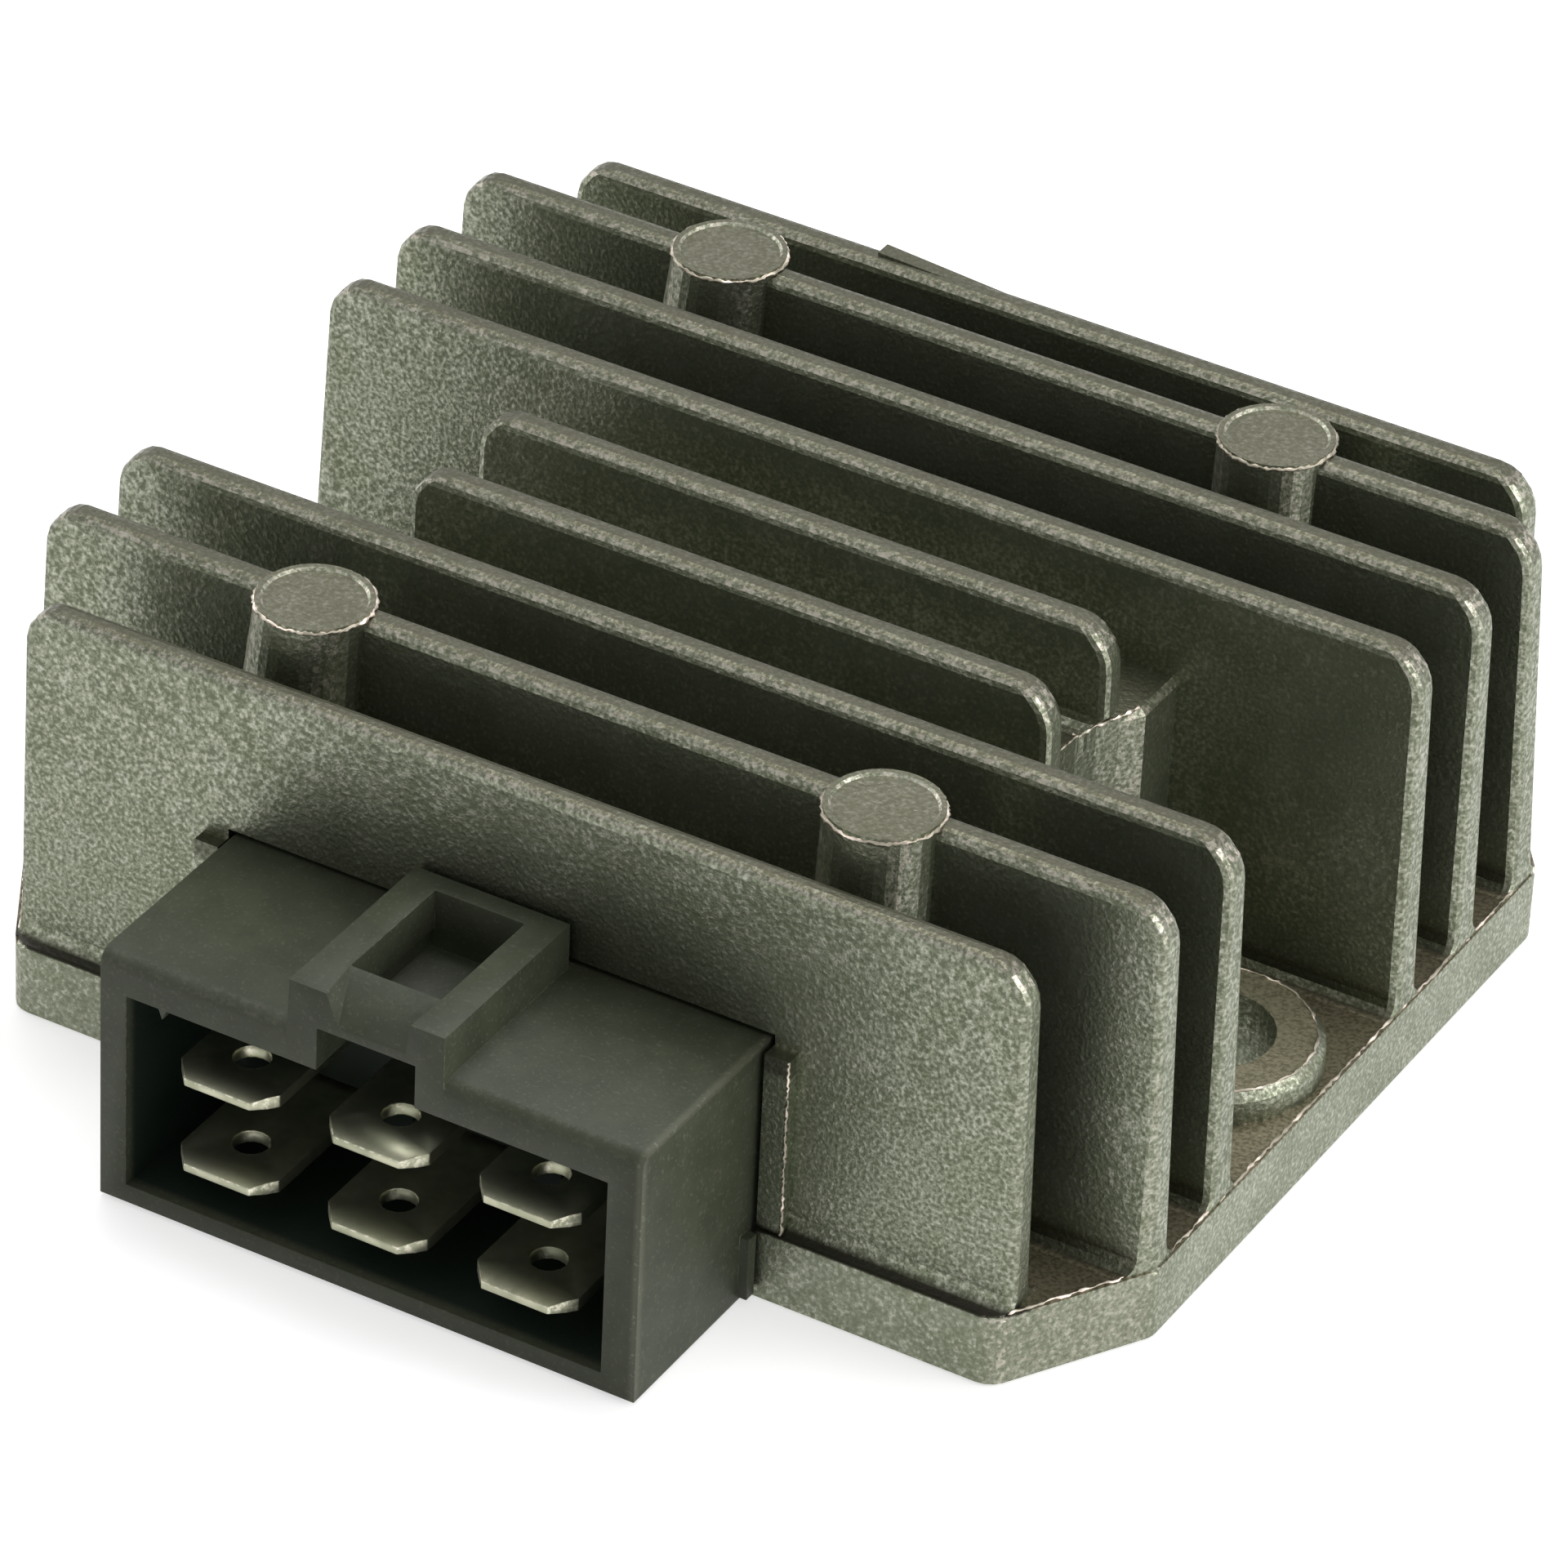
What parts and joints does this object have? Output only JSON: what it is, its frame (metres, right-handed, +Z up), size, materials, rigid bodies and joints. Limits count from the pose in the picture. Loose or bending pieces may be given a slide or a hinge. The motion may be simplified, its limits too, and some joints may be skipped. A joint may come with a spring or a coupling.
{
  "type": "voltage regulator rectifier",
  "caption": "Voltage regulator rectifier with a finned die-cast housing, a two-row blade socket and two mounting holes.",
  "frame": {"origin": "centre of the bounding box in X and Y, on the plane of the base's underside", "axes": "+Z up out of the fins' tips, +X along the fins, the socket opens towards -Y"},
  "size_m": [0.0724, 0.0724, 0.028],
  "materials": {
    "cast_aluminium": "shot-blasted die casting",
    "black_plastic": "matte moulded",
    "tinned_brass": "tin plated",
    "substrate_metal": "rolled",
    "moulded_package": "moulded",
    "board_laminate": "coated",
    "capacitor_can": "drawn",
    "resistor_coat": "dipped",
    "sealing_compound": "poured"
  },
  "bodies": {
    "root": {"heat_sink": "cast_aluminium", "connector_housing": "black_plastic", "blade_terminal_1": "tinned_brass", "blade_terminal_2": "tinned_brass", "blade_terminal_3": "tinned_brass", "blade_terminal_4": "tinned_brass", "blade_terminal_5": "tinned_brass", "blade_terminal_6": "tinned_brass", "substrate_plate": "substrate_metal", "thyristor_1": "moulded_package", "thyristor_2": "moulded_package", "thyristor_3": "moulded_package", "diode_1": "moulded_package", "diode_2": "moulded_package", "diode_3": "moulded_package", "control_board": "board_laminate", "link_pin_1": "tinned_brass", "link_pin_2": "tinned_brass", "link_pin_3": "tinned_brass", "link_pin_4": "tinned_brass", "link_pin_5": "tinned_brass", "link_pin_6": "tinned_brass", "control_chip": "moulded_package", "capacitor": "capacitor_can", "resistor_1": "resistor_coat", "resistor_2": "resistor_coat", "resistor_3": "resistor_coat", "zener_diode": "moulded_package", "potting_compound": "sealing_compound"}
  },
  "joints": []
}
